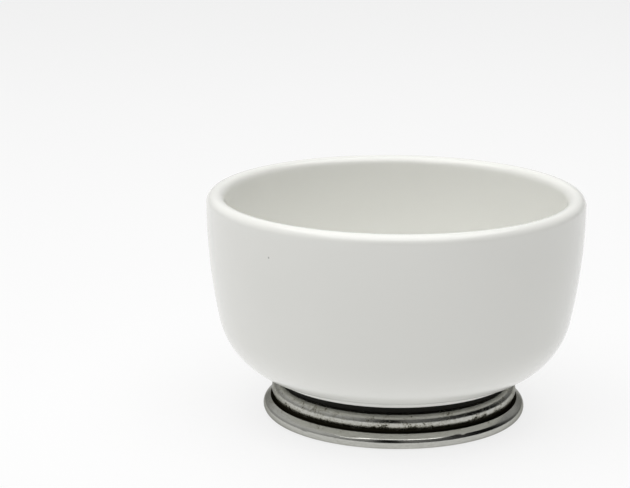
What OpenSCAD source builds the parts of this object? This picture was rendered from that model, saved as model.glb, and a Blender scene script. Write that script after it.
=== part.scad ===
// Shaving bowl: a thick glazed ceramic bowl standing on a cast pewter foot ring.
// Millimetres, +Z up. The origin is the centre of the foot's underside.
// Every piece is turned from a section whose curves are true circular arcs.

/* [Ceramic bowl] */
// Outside diameter just under the rim, where the wall is widest
bowl_d = 125; // [118:0.5:134]
// Overall height, from the table to the top of the rim
bowl_h = 74.5; // [70:0.5:81]
// Wall thickness, rounded over at the rim
wall_t = 6.1; // [5:0.1:7]
// Radius of the long curve up the outside of the wall
wall_curve_r = 190; // [150:1:240]
// Outside radius of the turn from the wall to the underside
belly_r = 25.4; // [24:0.1:27]
// Height of the centre of that turn
belly_z = 38; // [37.5:0.1:38.5]
// Radius at which the turn ends and the flatter underside begins
underside_r = 46.2; // [45:0.1:47]
// Inside radius of the turn from the wall to the floor
inner_belly_r = 21; // [18:0.5:24]
// Height of the floor inside the bowl
floor_z = 18.2; // [17:0.1:20]

/* [Ceramic foot] */
// Radius of the low band under the belly, at its top
band_top_r = 42.6; // [41.8:0.1:43]
// Height of the crease between the band and the underside
crease_z = 15.4; // [15:0.1:15.8]
// Radius of the low band at its lower edge
band_low_r = 41.5; // [40.8:0.1:41.6]
// Height of the band's lower edge
shoulder_z = 13.2; // [12.6:0.1:13.6]
// Radius of the unglazed foot that stands in the pewter
spigot_r = 36.8; // [36:0.1:37]
// Height of the unglazed foot's flat underside
spigot_z = 6.3; // [6:0.1:6.5]
// Radius of the recess under the bowl
recess_r = 31; // [28:0.5:32]
// Height of the recess's ceiling
recess_z = 11.2; // [10.5:0.1:12]

/* [Pewter foot] */
// Radius of the foot at the nose of its flange
flange_r = 43.9; // [43.5:0.1:45]
// Height of the sharp upper edge of the flange
flange_top_z = 4.75; // [4.5:0.05:4.9]
// Radius of the rounded bead above the flange
bead_r = 41.05; // [40.9:0.05:41.2]
// Height of the top of the bead, which is the lip around the ceramic
lip_z = 10.5; // [10.2:0.1:10.8]
// Radius of the bore that takes the ceramic foot
seat_bore_r = 37.4; // [37.3:0.1:37.6]
// Height of the ledge that the ceramic foot stands on
ledge_z = 5.6; // [5.2:0.1:5.8]
// Radius of the opening inside the ledge
ledge_r = 33; // [32.5:0.1:34]
// Inside radius of the flat face that meets the table
foot_face_r = 39.2; // [38.5:0.1:40]

/* [Hidden] */

// Sides of the drawn circles
round_fn = 160;

// Both faces of the wall curve about one centre, level with the centre of the rim's roundness.
// They are so nearly straight that each is drawn as a few cones.
wall_steps = 6;
rim_r = wall_t / 2;
rim_centre = [bowl_d / 2 - rim_r, bowl_h - rim_r];
wall_centre = [bowl_d / 2 - wall_curve_r, rim_centre.y];
inner_curve_r = wall_curve_r - wall_t;

// Turns at the bottom of the wall, outside and inside, each tangent to its face of the wall
belly_centre = turn_centre(wall_curve_r, belly_r, belly_z);
belly_start = -acos((underside_r - belly_centre.x) / belly_r);
belly_end = turn_end(wall_curve_r, belly_r, belly_z);
hollow_centre = turn_centre(inner_curve_r, inner_belly_r, floor_z + inner_belly_r);
hollow_end = turn_end(inner_curve_r, inner_belly_r, floor_z + inner_belly_r);

// Rounded edges of the ceramic foot
band_edge_r = 0.5;
recess_fillet_r = 2;
spigot_edge_r = 0.8;

// Bond: how far it stays inside the ledge, and the hollow of its visible edge
bond_inset = 0.6;
cove_sag = 0.5;

// Bead, and the groove between it and the flange
bead_round_r = 3.05;
bead_centre = [bead_r - bead_round_r, lip_z - bead_round_r];
groove_r = 40.2;
groove_z = flange_top_z - 0.4;
groove_angle = -42;

// Flange: a sloping top from its sharp edge to the ridge, then a rounded nose
flange_edge_r = 41.5;
nose_round_r = 2.4;
nose_centre = [flange_r - nose_round_r, 1.9];
ridge_angle = 43;
nose_end_angle = -50;
foot_corner_r = at(nose_centre, nose_round_r, nose_end_angle).x - 0.1;

// Underside of the pewter foot
ledge_t = 2.2;
ledge_edge_r = 0.8;
web_r = foot_face_r - 0.6;
web_fillet_r = 1;

// Point on a circle
function at(centre, r, angle) = centre + r * [cos(angle), sin(angle)];

// Centre, at height z, of a turn that meets a face of the wall smoothly
function turn_centre(face_r, turn_r, z) =
    [wall_centre.x + sqrt(pow(face_r - turn_r, 2) - pow(wall_centre.y - z, 2)), z];

// Angle at which that turn meets the face
function turn_end(face_r, turn_r, z) = -asin((wall_centre.y - z) / (face_r - turn_r));

// An arc is [centre, radius, first angle, last angle]. These are the points that divide it in n
function divided(arc, n) =
    [for (i = [0 : n]) at(arc[0], arc[1], arc[2] + (arc[3] - arc[2]) * i / n)];

function ends(arc) = divided(arc, 1);

// Region between an arc of up to 90 degrees and its chord
module cap(arc) {
    half = abs(arc[3] - arc[2]) / 2;
    reach = 1.1 * arc[1] / cos(half);
    intersection() {
        translate(arc[0]) circle(arc[1], $fn = round_fn);
        polygon(concat(ends(arc), [at(arc[0], reach, arc[3]), at(arc[0], reach, arc[2])]));
    }
}

// Flat outline of [radius, height] points, with some chords rounded outwards and some inwards
module section(outline, round = [], hollow = [])
    difference() {
        union() {
            polygon(outline);
            for (arc = round) cap(arc);
        }
        for (arc = hollow) cap(arc);
    }

// Solid of revolution
module turned()
    rotate_extrude($fn = round_fn) children();

// Bowl, low band under the belly, and the unglazed foot with its recess
module ceramic_bowl()
    color("ivory")
    turned()
    difference() {
        ceramic_outside();
        ceramic_inside();
        ceramic_recess();
    }

// Section of the bowl and its foot as if they were solid
module ceramic_outside() {
    foot_edge = [[spigot_r, spigot_z] + [-1, 1] * spigot_edge_r, spigot_edge_r, -90, 0];
    band_edge = [[band_low_r, shoulder_z] + [-1, 1] * band_edge_r, band_edge_r, -90, 0];
    belly = [belly_centre, belly_r, belly_start, belly_end];
    wall = [wall_centre, wall_curve_r, belly_end, 0];
    rim_outside = [rim_centre, rim_r, 0, 90];
    rim_inside = [rim_centre, rim_r, 90, 180];
    section(
        concat(
            [[0, spigot_z]], ends(foot_edge), [[spigot_r, shoulder_z]], ends(band_edge),
            [[band_top_r, crease_z]], ends(belly), divided(wall, wall_steps),
            ends(rim_outside), ends(rim_inside), [[0, rim_centre.y]]
        ),
        round = [foot_edge, band_edge, belly, rim_outside, rim_inside]
    );
}

// Section of the space inside the bowl, up to the middle of the rim
module ceramic_inside() {
    belly = [hollow_centre, inner_belly_r, -90, hollow_end];
    wall = [wall_centre, inner_curve_r, hollow_end, 0];
    section(
        concat([[0, floor_z]], ends(belly), divided(wall, wall_steps), [[0, bowl_h]]),
        round = [belly]
    );
}

// Section of the recess under the bowl
module ceramic_recess() {
    mouth_edge = [[recess_r, spigot_z] + [1, 1] * spigot_edge_r, spigot_edge_r, 270, 180];
    fillet = [[recess_r, recess_z] - [1, 1] * recess_fillet_r, recess_fillet_r, 0, 90];
    section(
        concat([[0, spigot_z]], ends(mouth_edge), ends(fillet), [[0, recess_z]]),
        round = [fillet],
        hollow = [mouth_edge]
    );
}

// Dark bond under and around the ceramic foot, filled out to a cove above the lip
module bond_ring() {
    inner_r = ledge_r + bond_inset;
    half_h = (shoulder_z - lip_z) / 2;
    cove_r = (half_h * half_h + cove_sag * cove_sag) / (2 * cove_sag);
    cove_reach = asin(half_h / cove_r);
    cove_centre = [bead_centre.x + cove_r * cos(cove_reach), lip_z + half_h];
    cove = [cove_centre, cove_r, 180 + cove_reach, 180 - cove_reach];
    foot_edge = [[spigot_r, spigot_z] + [-1, 1] * spigot_edge_r, spigot_edge_r, 0, -90];
    color("#2b2820")
    turned()
    section(
        concat(
            [[inner_r, ledge_z], [seat_bore_r, ledge_z], [seat_bore_r, lip_z]],
            ends(cove), [[spigot_r, shoulder_z]], ends(foot_edge), [[inner_r, spigot_z]]
        ),
        hollow = [cove, foot_edge]
    );
}

// Cast ring: bead, groove and flange outside, ledge and open hollow inside
module pewter_foot() {
    ledge_low_z = ledge_z - ledge_t;
    nose_low = [nose_centre, nose_round_r, nose_end_angle, 0];
    nose_high = [nose_centre, nose_round_r, 0, ridge_angle];
    bead_low = [bead_centre, bead_round_r, groove_angle, 0];
    bead_high = [bead_centre, bead_round_r, 0, 90];
    ledge_top = [[ledge_r, ledge_z] + [1, -1] * ledge_edge_r, ledge_edge_r, 90, 180];
    ledge_low = [[ledge_r, ledge_low_z] + [1, 1] * ledge_edge_r, ledge_edge_r, 180, 270];
    web_fillet = [[web_r, ledge_low_z] - [1, 1] * web_fillet_r, web_fillet_r, 90, 0];
    color("#9a9a90")
    turned()
    section(
        concat(
            [[foot_face_r, 0], [foot_corner_r, 0]], ends(nose_low), ends(nose_high),
            [[flange_edge_r, flange_top_z], [groove_r, groove_z]],
            ends(bead_low), ends(bead_high), [[seat_bore_r, lip_z], [seat_bore_r, ledge_z]],
            ends(ledge_top), ends(ledge_low), ends(web_fillet)
        ),
        round = [nose_low, nose_high, bead_low, bead_high, ledge_top, ledge_low],
        hollow = [web_fillet]
    );
}

ceramic_bowl();
bond_ring();
pewter_foot();
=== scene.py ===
"""Shaving bowl: a thick glazed bowl on a turned pewter foot ring, on a pale floor under soft light.

The three pieces are turned again here from the CAD sections, with finer rings and the small
unevenness of handmade ware. Metres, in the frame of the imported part.
"""
import math

import bpy
import numpy as np
from mathutils import Matrix, Vector


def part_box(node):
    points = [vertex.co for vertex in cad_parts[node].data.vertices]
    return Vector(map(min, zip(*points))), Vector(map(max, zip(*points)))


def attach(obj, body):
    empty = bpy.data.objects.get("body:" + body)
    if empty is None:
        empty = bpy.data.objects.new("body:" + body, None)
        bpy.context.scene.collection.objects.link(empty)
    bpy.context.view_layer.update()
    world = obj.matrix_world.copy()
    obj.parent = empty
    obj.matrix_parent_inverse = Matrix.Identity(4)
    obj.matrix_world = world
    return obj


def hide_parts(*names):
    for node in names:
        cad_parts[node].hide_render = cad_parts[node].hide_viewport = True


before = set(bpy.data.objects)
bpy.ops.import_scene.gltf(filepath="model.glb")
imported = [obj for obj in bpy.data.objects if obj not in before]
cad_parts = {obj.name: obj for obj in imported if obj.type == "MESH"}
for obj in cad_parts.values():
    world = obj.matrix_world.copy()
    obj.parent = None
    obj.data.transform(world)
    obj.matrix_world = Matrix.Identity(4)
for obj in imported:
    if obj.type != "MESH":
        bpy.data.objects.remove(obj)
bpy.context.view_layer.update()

MM = 0.001

# ---------------------------------------------------------------- driving sizes
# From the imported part
BOWL_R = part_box("ceramic_bowl")[1].x
BOWL_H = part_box("ceramic_bowl")[1].z
SPIGOT_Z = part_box("ceramic_bowl")[0].z
FLANGE_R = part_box("pewter_foot")[1].x
LIP_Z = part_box("pewter_foot")[1].z
SHOULDER_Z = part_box("bond_ring")[1].z
LEDGE_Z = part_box("bond_ring")[0].z

# Ceramic, as in the part's source
WALL_T = 6.1 * MM
WALL_CURVE_R = 190 * MM
BELLY_R = 25.4 * MM
BELLY_Z = 38 * MM
UNDERSIDE_R = 46.2 * MM
INNER_BELLY_R = 21 * MM
FLOOR_Z = 18.2 * MM
CREASE = np.array([42.6, 15.4]) * MM
BAND_LOW_R = 41.5 * MM
SPIGOT_R = 36.8 * MM
RECESS_R, RECESS_Z = 31 * MM, 11.2 * MM
FOOT_EDGE_R = 0.8 * MM

# Pewter, as in the part's source
BEAD_ROUND_R = 3.05 * MM
BEAD = np.array([41.05 * MM, LIP_Z]) - BEAD_ROUND_R
BEAD_LOW = -42
NOSE_ROUND_R = 2.4 * MM
NOSE = np.array([FLANGE_R - NOSE_ROUND_R, 1.9 * MM])
NOSE_LOW, NOSE_RIDGE = -50, 43
FLANGE_EDGE = np.array([41.5, 4.75]) * MM
GROOVE = np.array([40.2, 4.35]) * MM
SEAT_R = 37.4 * MM
LEDGE_R = 33 * MM
FACE_R = 39.2 * MM


# ---------------------------------------------------------------- sections
def at(centre, r, degrees):
    """Point on a circle."""
    a = math.radians(degrees)
    return np.asarray(centre) + r * np.array([math.cos(a), math.sin(a)])


def arc(centre, r, first, last):
    """Points close together along an arc, angles in degrees."""
    n = max(3, int(abs(last - first)))
    return np.array([at(centre, r, a) for a in np.linspace(first, last, n)])


def turn(wall_centre, face_r, r, z):
    """Centre, at height z, of a turn that meets a face of the wall smoothly, and the angle where it does."""
    rise = wall_centre[1] - z
    centre = np.array([wall_centre[0] + math.sqrt((face_r - r) ** 2 - rise ** 2), z])
    return centre, -math.degrees(math.asin(rise / (face_r - r)))


def rings(parts, count, soften):
    """The outline's points at count places, its corners softened, closer together where it turns."""
    step, crowding = 0.02 * MM, 6
    p = np.concatenate([np.atleast_2d(q) for q in parts])
    s = np.concatenate([[0], np.cumsum(np.hypot(*np.diff(p, axis=0).T))])
    keep = np.concatenate([[True], np.diff(s) > 1e-9])
    p, s = p[keep], s[keep]
    even = np.linspace(0, s[-1], int(s[-1] / step))
    q = np.stack([np.interp(even, s, p[:, i]) for i in (0, 1)], 1)
    reach = int(3 * soften / step)
    bell = np.exp(-0.5 * (np.arange(-reach, reach + 1) * step / soften) ** 2)
    bell /= bell.sum()
    padded = np.concatenate([2 * q[0] - q[reach:0:-1], q, 2 * q[-1] - q[-2:-reach - 2:-1]])
    q = np.stack([np.convolve(padded[:, i], bell, "valid") for i in (0, 1)], 1)
    heading = np.unwrap(np.arctan2(*np.gradient(q, axis=0).T[::-1]))
    bend = np.abs(np.gradient(heading)) / step
    weight = 1 + crowding * bend * MM
    total = np.cumsum(weight)
    pick = np.interp(np.linspace(total[0], total[-1], count), total, np.arange(len(q)))
    return np.stack([np.interp(pick, np.arange(len(q)), q[:, i]) for i in (0, 1)], 1)


def ceramic_section():
    """From the middle of the bowl's floor over the rim and down to the middle of the recess."""
    rim = np.array([BOWL_R - WALL_T / 2, BOWL_H - WALL_T / 2])
    wall = np.array([BOWL_R - WALL_CURVE_R, rim[1]])
    inner_r = WALL_CURVE_R - WALL_T
    belly, belly_end = turn(wall, WALL_CURVE_R, BELLY_R, BELLY_Z)
    hollow, hollow_end = turn(wall, inner_r, INNER_BELLY_R, FLOOR_Z + INNER_BELLY_R)
    belly_start = -math.degrees(math.acos((UNDERSIDE_R - belly[0]) / BELLY_R))
    band_edge, fillet = 0.5 * MM, 2 * MM
    return [
        [0, FLOOR_Z],
        arc(hollow, INNER_BELLY_R, -90, hollow_end),
        arc(wall, inner_r, hollow_end, 0)[1:],
        arc(rim, WALL_T / 2, 180, 0)[1:],
        arc(wall, WALL_CURVE_R, 0, belly_end)[1:],
        arc(belly, BELLY_R, belly_end, belly_start)[1:],
        CREASE,
        arc([BAND_LOW_R - band_edge, SHOULDER_Z + band_edge], band_edge, 0, -90),
        [SPIGOT_R, SHOULDER_Z],
        arc([SPIGOT_R - FOOT_EDGE_R, SPIGOT_Z + FOOT_EDGE_R], FOOT_EDGE_R, 0, -90),
        arc([RECESS_R + FOOT_EDGE_R, SPIGOT_Z + FOOT_EDGE_R], FOOT_EDGE_R, 270, 180),
        arc([RECESS_R - fillet, RECESS_Z - fillet], fillet, 0, 90),
        [0, RECESS_Z],
    ]


def bond_section():
    """Closed outline of the bond, with the cove that shows between the lip and the shoulder."""
    sag, inset = 0.5 * MM, 0.6 * MM
    inner_r = LEDGE_R + inset
    half = (SHOULDER_Z - LIP_Z) / 2
    cove_r = (half ** 2 + sag ** 2) / (2 * sag)
    reach = math.degrees(math.asin(half / cove_r))
    cove = [BEAD[0] + cove_r * math.cos(math.radians(reach)), LIP_Z + half]
    return [
        [inner_r, LEDGE_Z], [SEAT_R, LEDGE_Z], [SEAT_R, LIP_Z],
        arc(cove, cove_r, 180 + reach, 180 - reach),
        [SPIGOT_R, SHOULDER_Z],
        arc([SPIGOT_R - FOOT_EDGE_R, SPIGOT_Z + FOOT_EDGE_R], FOOT_EDGE_R, 0, -90),
        [inner_r, SPIGOT_Z], [inner_r, LEDGE_Z],
    ]


def pewter_section():
    """Closed outline of the foot ring, starting and ending under the ledge."""
    ledge_t, edge, fillet = 2.2 * MM, 0.8 * MM, 1 * MM
    low = LEDGE_Z - ledge_t
    web_r = FACE_R - 0.6 * MM
    under_r = LEDGE_R + 3 * MM
    face_out_r = at(NOSE, NOSE_ROUND_R, NOSE_LOW)[0] - 0.1 * MM
    return [
        [under_r, low],
        arc([web_r - fillet, low - fillet], fillet, 90, 0),
        [FACE_R, 0], [face_out_r, 0],
        arc(NOSE, NOSE_ROUND_R, NOSE_LOW, NOSE_RIDGE),
        FLANGE_EDGE, GROOVE,
        arc(BEAD, BEAD_ROUND_R, BEAD_LOW, 90),
        [SEAT_R, LIP_Z], [SEAT_R, LEDGE_Z],
        arc([LEDGE_R + edge, LEDGE_Z - edge], edge, 90, 180),
        arc([LEDGE_R + edge, low + edge], edge, 180, 270),
        [under_r, low],
    ]


# ---------------------------------------------------------------- turned meshes
def waves(modes, size, seed):
    """A smooth random function of (angle, place along the section) made of a few seeded waves."""
    r = np.random.default_rng(seed)
    terms = [(m, r.uniform(-1, 1) * size / math.sqrt(m), r.uniform(0, 2 * math.pi), r.uniform(20, 90))
             for m in modes]
    return lambda angle, s: sum(a * np.cos(m * angle + p + k * s) for m, a, p, k in terms)


def lathe(name, section, segments, closed, move=None):
    """Turns a section of (radius, height) points into a smooth mesh.

    move(angle, points, place along the section) gives the outward shift of each point. A closed section
    runs anticlockwise; an open one runs clockwise from axis to axis.
    """
    angle = np.linspace(0, 2 * math.pi, segments, endpoint=False)
    tangent = np.gradient(section, axis=0)
    if closed:
        tangent[0] = tangent[-1] = section[1] - section[-2]
    outward = -1 if closed else 1
    normal = outward * np.stack([-tangent[:, 1], tangent[:, 0]], 1)
    normal /= np.linalg.norm(normal, axis=1)[:, None]
    s = np.concatenate([[0], np.cumsum(np.hypot(*np.diff(section, axis=0).T))])
    if closed:
        section, normal, s = section[:-1], normal[:-1], s[:-1]
    first_pole, last_pole = (not closed and section[i][0] < 1e-6 for i in (0, -1))
    body = section[first_pole:len(section) - last_pole]
    body_normal = normal[first_pole:len(section) - last_pole]
    body_s = s[first_pole:len(section) - last_pole]
    shift = np.zeros((len(body), segments)) if move is None else move(angle[None, :], body, body_s[:, None])
    r = body[:, :1] + shift * body_normal[:, :1]
    z = body[:, 1:] + shift * body_normal[:, 1:]
    verts = np.stack([r * np.cos(angle), r * np.sin(angle), z + 0 * angle], -1).reshape(-1, 3)
    count = len(body)
    i, j = np.meshgrid(np.arange(count if closed else count - 1), np.arange(segments), indexing="ij")
    below, beside = (i + 1) % count, (j + 1) % segments
    faces = np.stack([i * segments + j, i * segments + beside,
                      below * segments + beside, below * segments + j], -1).reshape(-1, 4).tolist()
    poles = []
    for present, ring, end in ((first_pole, 0, 0), (last_pole, count - 1, -1)):
        if present:
            tip = count * segments + len(poles)
            poles.append([0, 0, section[end][1]])
            for k in range(segments):
                pair = (ring * segments + k, ring * segments + (k + 1) % segments)
                faces.append([tip, *(pair[::-1] if ring == 0 else pair)])
    verts = np.concatenate([verts, np.array(poles).reshape(-1, 3)])
    mesh = bpy.data.meshes.new(name)
    mesh.from_pydata(verts.tolist(), [], [face[::-outward] for face in faces])
    mesh.validate()
    mesh.shade_smooth()
    piece = bpy.data.objects.new(name, mesh)
    bpy.context.scene.collection.objects.link(piece)
    return piece


def attribute(piece, name, value):
    """Stores a number at each vertex, worked out from its radius and height."""
    co = np.zeros(len(piece.data.vertices) * 3, np.float32)
    piece.data.vertices.foreach_get("co", co)
    co = co.reshape(-1, 3)
    data = piece.data.attributes.new(name, "FLOAT", "POINT")
    data.data.foreach_set("value", value(np.hypot(co[:, 0], co[:, 1]), co[:, 2]).astype(np.float32))


def bump(x, centre, width):
    """A bell around centre."""
    return np.exp(-0.5 * ((x - centre) / width) ** 2)


# ---------------------------------------------------------------- shader helpers
def new_material(name):
    """A material, its node tree and its shader."""
    m = bpy.data.materials.new(name)
    m.use_nodes = True
    return m, m.node_tree, m.node_tree.nodes["Principled BSDF"]


def node(tree, kind, inputs=(), **settings):
    """A node with its settings, and each input set to a value or joined to another node's output."""
    n = tree.nodes.new(kind)
    for key, value in settings.items():
        setattr(n, key, value)
    for key, value in dict(inputs).items():
        if isinstance(value, bpy.types.NodeSocket):
            tree.links.new(value, n.inputs[key])
        else:
            n.inputs[key].default_value = value
    return n


def maths(tree, operation, *values):
    return node(tree, "ShaderNodeMath", dict(enumerate(values)), operation=operation).outputs[0]


def ramp(tree, value, low, high, out_low=0.0, out_high=1.0):
    """value from low..high mapped smoothly to out_low..out_high."""
    keys = {"Value": value, "From Min": low, "From Max": high, "To Min": out_low, "To Max": out_high}
    return node(tree, "ShaderNodeMapRange", keys, interpolation_type="SMOOTHSTEP").outputs["Result"]


def mix(tree, amount, a, b):
    """Colour that goes from a to b as amount goes from 0 to 1. Each may be a value or a socket."""
    factor, first, second = 0, 6, 7
    keys = {factor: amount}
    for socket, color in ((first, a), (second, b)):
        keys[socket] = color if isinstance(color, bpy.types.NodeSocket) else (*color, 1)
    n = node(tree, "ShaderNodeMix", data_type="RGBA")
    for socket, value in keys.items():
        if isinstance(value, bpy.types.NodeSocket):
            tree.links.new(value, n.inputs[socket])
        else:
            n.inputs[socket].default_value = value
    return n.outputs[2]


def noise(tree, where, scale, detail=3.0, roughness=0.5):
    keys = {"Vector": where, "Scale": scale, "Detail": detail, "Roughness": roughness}
    return node(tree, "ShaderNodeTexNoise", keys).outputs["Fac"]


def stretched(tree, where, scale):
    """Coordinates scaled by different amounts along each axis."""
    keys = {0: where, 1: scale}
    return node(tree, "ShaderNodeVectorMath", keys, operation="MULTIPLY").outputs[0]


def around(tree, where, turns, along):
    """Coordinates that follow the lathe: a circle of radius turns, then radius and height times along."""
    xyz = node(tree, "ShaderNodeSeparateXYZ", {0: where})
    x, y, z = (xyz.outputs[i] for i in range(3))
    flat = node(tree, "ShaderNodeCombineXYZ", {0: x, 1: y})
    unit = node(tree, "ShaderNodeVectorMath", {0: flat.outputs[0]}, operation="NORMALIZE").outputs[0]
    r = node(tree, "ShaderNodeVectorMath", {0: flat.outputs[0]}, operation="LENGTH").outputs["Value"]
    circle = stretched(tree, unit, (turns, turns, 0))
    height = maths(tree, "MULTIPLY", maths(tree, "SUBTRACT", z, r), along)
    lift = node(tree, "ShaderNodeCombineXYZ", {2: height})
    return node(tree, "ShaderNodeVectorMath", {0: circle, 1: lift.outputs[0]}, operation="ADD").outputs[0]


def relief(tree, shader, height, strength, distance):
    """Bumps too small for the mesh."""
    keys = {"Strength": strength, "Distance": distance, "Height": height}
    tree.links.new(node(tree, "ShaderNodeBump", keys).outputs[0], shader.inputs["Normal"])


# ---------------------------------------------------------------- materials
def glaze_material():
    """White glaze with rare pinholes, and bare fired clay where the attribute bare is 1."""
    m, t, shader = new_material("white_glaze")
    where = node(t, "ShaderNodeTexCoord").outputs["Object"]
    slow = noise(t, where, 22, 2)
    tone = mix(t, slow, (0.805, 0.805, 0.767), (0.84, 0.84, 0.804))
    pin = node(t, "ShaderNodeTexVoronoi", {"Vector": where, "Scale": 75, "Randomness": 1.0})
    chance = node(t, "ShaderNodeSeparateXYZ", {0: pin.outputs["Color"]}).outputs[0]
    near = ramp(t, pin.outputs["Distance"], 0.012, 0.035, 1, 0)
    dot = maths(t, "MULTIPLY", near, ramp(t, chance, 0.90, 0.93))
    spotted = mix(t, maths(t, "MULTIPLY", dot, 0.7), tone, (0.25, 0.25, 0.23))
    bare = node(t, "ShaderNodeAttribute", attribute_name="bare").outputs["Fac"]
    grain = noise(t, where, 900, 4, 0.7)
    biscuit = mix(t, grain, (0.52, 0.47, 0.38), (0.66, 0.61, 0.52))
    t.links.new(mix(t, bare, spotted, biscuit), shader.inputs["Base Color"])
    t.links.new(ramp(t, bare, 0, 1, 0.16, 0.85), shader.inputs["Roughness"])
    height = maths(t, "MULTIPLY", grain, bare)
    height = maths(t, "MULTIPLY_ADD", dot, -0.6, height)
    height = maths(t, "MULTIPLY_ADD", noise(t, where, 260, 2), 0.12, height)
    relief(t, shader, height, 0.35, 0.2 * MM)
    shader.inputs["IOR"].default_value = 1.5
    return m


def pewter_material():
    """Satin metal with turned streaks, tarnished and then blackened as the dirt attribute rises; the same
    tarnish also paints shade on the flange's slope above its ridge.
    """
    m, t, shader = new_material("aged_pewter")
    where = node(t, "ShaderNodeTexCoord").outputs["Object"]
    streak = noise(t, around(t, where, 0.5, 60), 40, 4, 0.65)
    fine = noise(t, around(t, where, 1.5, 900), 9, 3, 0.6)
    cloud = noise(t, where, 110, 3, 0.6)
    blotch = noise(t, where, 480, 4, 0.7)
    speck = noise(t, where, 2300, 3, 0.75)
    level = node(t, "ShaderNodeAttribute", attribute_name="grime_and_shade").outputs["Fac"]
    for texture, share in ((cloud, 1.4), (blotch, 1.8), (speck, 1.8)):
        level = maths(t, "MULTIPLY_ADD", maths(t, "SUBTRACT", texture, 0.5), share, level)
    # Tarnish, which also carries the painted shade on the flange's slope.
    tarnish_and_shade = ramp(t, level, 0.0, 0.5)
    dark = ramp(t, level, 0.38, 0.66)
    clean = mix(t, streak, (0.38, 0.38, 0.352), (0.60, 0.60, 0.56))
    dull = mix(t, maths(t, "MULTIPLY", tarnish_and_shade, 0.7), clean, (0.30, 0.29, 0.235))
    t.links.new(mix(t, dark, dull, (0.030, 0.027, 0.017)), shader.inputs["Base Color"])
    shader.inputs["Metallic"].default_value = 1.0
    shader.inputs["Specular Tint"].default_value = (0.45, 0.45, 0.43, 1)
    rough = maths(t, "MULTIPLY_ADD", streak, 0.12, 0.09)
    rough = maths(t, "MULTIPLY_ADD", tarnish_and_shade, 0.16, rough)
    t.links.new(maths(t, "MULTIPLY_ADD", dark, 0.3, rough), shader.inputs["Roughness"])
    height = maths(t, "MULTIPLY", fine, 0.3)
    height = maths(t, "MULTIPLY_ADD", blotch, 0.35, height)
    height = maths(t, "MULTIPLY_ADD", speck, 0.12, height)
    height = maths(t, "MULTIPLY_ADD", dark, -0.25, height)
    relief(t, shader, height, 0.5, 0.08 * MM)
    return m


def bond_and_gap_shade_material():
    """Dark, dull setting compound, its near-black colour partly painted shade of the deep gap between the
    bowl and the pewter lip.
    """
    m, t, shader = new_material("dark_bond_and_gap_shade")
    where = node(t, "ShaderNodeTexCoord").outputs["Object"]
    grain = noise(t, where, 500, 4, 0.6)
    t.links.new(mix(t, grain, (0.004, 0.004, 0.002), (0.013, 0.012, 0.008)), shader.inputs["Base Color"])
    t.links.new(ramp(t, grain, 0, 1, 0.5, 0.8), shader.inputs["Roughness"])
    shader.inputs["Specular IOR Level"].default_value = 0.25
    relief(t, shader, grain, 0.5, 0.2 * MM)
    return m


# ---------------------------------------------------------------- the three pieces
def dress(piece, material, cad_node):
    """Gives a piece its material and its body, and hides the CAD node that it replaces."""
    piece.data.materials.append(material)
    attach(piece, "root")
    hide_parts(cad_node)


def unglazed(r, z):
    """1 on the foot's bare clay, which the glaze stops short of."""
    return ((z < SHOULDER_Z - 0.3 * MM) & (r > RECESS_R - 0.5 * MM)).astype(float)


# Each uneven piece is drawn in by more than its waves rise, so that it stays inside its CAD solid
throwing, THROWING_INSET = waves((2, 3, 4, 5, 7), 0.015 * MM, 11), 0.04 * MM
ceramic = lathe("glazed_bowl", rings(ceramic_section(), 260, 0.15 * MM), 360, False,
                lambda angle, body, s: throwing(angle, s) - THROWING_INSET)
attribute(ceramic, "bare", unglazed)
dress(ceramic, glaze_material(), "ceramic_bowl")

# The bond's near-black colour is partly real dark compound and partly painted shade of the gap under the
# bowl.
bond = lathe("bond_cove_and_gap_shade", rings(bond_section(), 60, 0.05 * MM), 240, True)
dress(bond, bond_and_gap_shade_material(), "bond_ring")

hammered, HAMMERED_INSET = waves((3, 5, 8, 13, 21, 34), 0.02 * MM, 5), 0.06 * MM
# Knocks in the flange: degrees round, then radius, height, half length, half width and depth in mm
KNOCKS = [
    (-112, 43.2, 3.6, 2.2, 0.35, 0.20),
    (-109, 42.9, 3.9, 0.7, 0.30, 0.22),
    (-64, 43.3, 3.2, 1.6, 0.25, 0.16),
    (-61, 43.0, 3.7, 0.5, 0.30, 0.16),
    (-84, 43.5, 0.9, 1.0, 0.30, 0.12),
    (-133, 43.6, 2.6, 1.2, 0.30, 0.12),
    (20, 43.3, 3.4, 2.0, 0.40, 0.10),
    (104, 43.1, 3.6, 1.5, 0.40, 0.10),
    (171, 43.6, 2.2, 1.1, 0.30, 0.08),
]


def knocked(angle, body, s):
    """Outward shift of the pewter: slow unevenness, less the knocks."""
    shift = hammered(angle, s) - HAMMERED_INSET
    for degrees, r, z, length, width, depth in KNOCKS:
        round_by = (angle - math.radians(degrees) + math.pi) % (2 * math.pi) - math.pi
        across = np.hypot(body[:, :1] - r * MM, body[:, 1:] - z * MM)
        shift = shift - depth * MM * bump(round_by * r, 0, length) * bump(across, 0, width * MM)
    return shift


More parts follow.
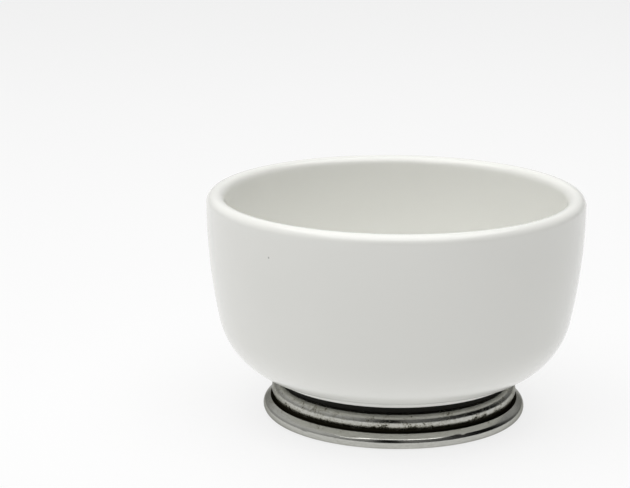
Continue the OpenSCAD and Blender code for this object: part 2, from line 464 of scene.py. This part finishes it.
def grime_and_shade(r, z):
    """How dark the pewter is made: dirt packed in the groove, fading up the bead, hardly any on the flange
    below its ridge, a little more along its bottom edge, painted shade on the flange's slope above the ridge,
    and darker inner faces.
    """
    groove_z, fade_z, ridge_z = 4.6 * MM, 5 * MM, 3.6 * MM
    packed = 1.5 * bump(z, groove_z, 0.35 * MM)
    fading = 0.75 * np.where(z > fade_z, bump(z, fade_z, 1.15 * MM), 1)
    bead = 0.1 + packed + fading
    # Painted shade: the flange's slope above the ridge is made darker.
    above_ridge = np.clip((z - ridge_z) / (0.5 * MM), 0, 1)
    flange = -0.3 + 0.3 * above_ridge + 0.25 * bump(z, 0, 0.5 * MM)
    inside = 0.55 * (r < FACE_R - 1 * MM) * (z < 8 * MM)
    on_flange = (z < FLANGE_EDGE[1] + 0.05 * MM) & (r > FLANGE_EDGE[0] - 0.1 * MM)
    return np.where(r > FACE_R, np.where(on_flange, flange, bead), inside)


pewter = lathe("pewter_ring", rings(pewter_section(), 130, 0.08 * MM), 700, True, knocked)
attribute(pewter, "grime_and_shade", grime_and_shade)
dress(pewter, pewter_material(), "pewter_foot")


# ---------------------------------------------------------------- floor, light and camera
FLOOR_R, FLOOR_DROP = 4.0, 0.0002
FLOOR_GREY, FLOOR_GLOW = 0.16, 0.77
# Glow of the studio around the bowl, as (front, right, back, left), and of the softbox overhead
SKY_LOW = (0.15, 0.0, 0.5, 0.45)
SKY_MIDDLE = (0.22, 0.0, 0.7, 0.65)
TOP_POWER = 15.3
TOP_PLACE, TOP_SIZE = Vector((0, -0.17, 1.05)), (1.4, 1.3)
# Where the low glow gives way to the middle one, and that one to the dark, as sines of the elevation
LOW_END, MIDDLE_END = (0.24, 0.36), (0.76, 0.86)
# The dark gap in front: sine of its middle's angle round from -Y, then of half its width inside and outside
GAP_MIDDLE, GAP = -0.1, (0.15, 0.25)
# The eye stands in front of the bowl and a little to its left, and looks level along +Y, tipped down
EYE = Vector((-0.0266, -0.6650, 0.2233))
TIP, ROLL = math.radians(14.08), math.radians(0.16)
LENS, SENSOR = 118.1, 36


def floor_material():
    """Pale floor with a glow of its own."""
    m, t, shader = new_material("floor_white")
    shader.inputs["Base Color"].default_value = (FLOOR_GREY, FLOOR_GREY, FLOOR_GREY, 1)
    shader.inputs["Roughness"].default_value = 0.9
    shader.inputs["Emission Color"].default_value = (1, 1, 1, 1)
    shader.inputs["Emission Strength"].default_value = FLOOR_GLOW
    return m


def softbox(name, place, target, size, power):
    """A rectangular light at place that faces target."""
    light = bpy.data.lights.new(name, "AREA")
    light.shape = "RECTANGLE"
    light.size, light.size_y = size
    light.energy = power
    lamp = bpy.data.objects.new(name, light)
    lamp.location = place
    lamp.rotation_euler = (target - place).to_track_quat("-Z", "Y").to_euler()
    bpy.context.scene.collection.objects.link(lamp)


def studio_sky(low, middle):
    """A plain dome: one glow for each side near the horizon, another higher up, and dark above.

    A gap through both glows at the front gives the short dark reflections on the pewter.
    """
    world = bpy.data.worlds.new("studio")
    world.use_nodes = True
    t = world.node_tree
    where = node(t, "ShaderNodeTexCoord").outputs["Generated"]
    xyz = node(t, "ShaderNodeSeparateXYZ", {0: where})
    x, y, z = (xyz.outputs[i] for i in range(3))
    across = maths(t, "SQRT", maths(t, "ADD", maths(t, "MULTIPLY", x, x), maths(t, "MULTIPLY", y, y)))
    sides = []
    for axis, sign in ((y, -1), (x, 1), (y, 1), (x, -1)):
        facing = maths(t, "MAXIMUM", maths(t, "DIVIDE", maths(t, "MULTIPLY", axis, sign), across), 0)
        sides.append(maths(t, "MULTIPLY", facing, facing))
    off_gap = maths(t, "ABSOLUTE", maths(t, "SUBTRACT", maths(t, "DIVIDE", x, across), GAP_MIDDLE))
    beside_gap = ramp(t, off_gap, *GAP)
    lit = maths(t, "MAXIMUM", beside_gap, maths(t, "GREATER_THAN", y, 0.0))
    glows = []
    for levels in (low, middle):
        glow = maths(t, "MULTIPLY", sides[0], levels[0])
        for side, level in zip(sides[1:], levels[1:]):
            glow = maths(t, "MULTIPLY_ADD", side, level, glow)
        glows.append(glow)
    low_share = ramp(t, z, *LOW_END, 1, 0)
    middle_share = maths(t, "MULTIPLY", ramp(t, z, *LOW_END), ramp(t, z, *MIDDLE_END, 1, 0))
    total = maths(t, "MULTIPLY_ADD", glows[1], middle_share, maths(t, "MULTIPLY", glows[0], low_share))
    total = maths(t, "MULTIPLY", total, lit)
    t.links.new(total, t.nodes["Background"].inputs["Strength"])
    t.nodes["Background"].inputs["Color"].default_value = (1, 1, 1, 1)
    return world


def camera_at(eye, tip, roll):
    """A camera that looks along +Y, tipped down and rolled."""
    forward = Vector((0, math.cos(tip), -math.sin(tip)))
    level_up = Vector((0, math.sin(tip), math.cos(tip)))
    right = Vector((1, 0, 0)) * math.cos(roll) + level_up * math.sin(roll)
    up = level_up * math.cos(roll) - Vector((1, 0, 0)) * math.sin(roll)
    lens = bpy.data.cameras.new("camera")
    lens.lens, lens.sensor_width = LENS, SENSOR
    lens.clip_start, lens.clip_end = 0.05, 20
    camera = bpy.data.objects.new("camera", lens)
    camera.matrix_world = Matrix.Translation(eye) @ Matrix((right, up, -forward)).transposed().to_4x4()
    bpy.context.scene.collection.objects.link(camera)
    return camera


bpy.ops.mesh.primitive_circle_add(vertices=96, radius=FLOOR_R, fill_type="NGON", location=(0, 0, -FLOOR_DROP))
floor = bpy.context.object
floor.name = "floor"
floor.data.materials.append(floor_material())

softbox("top", TOP_PLACE, Vector((*TOP_PLACE.xy, 0)), TOP_SIZE, TOP_POWER)
bpy.context.scene.world = studio_sky(SKY_LOW, SKY_MIDDLE)
bpy.context.scene.view_settings.view_transform = "Standard"
bpy.context.scene.camera = camera_at(EYE, TIP, ROLL)
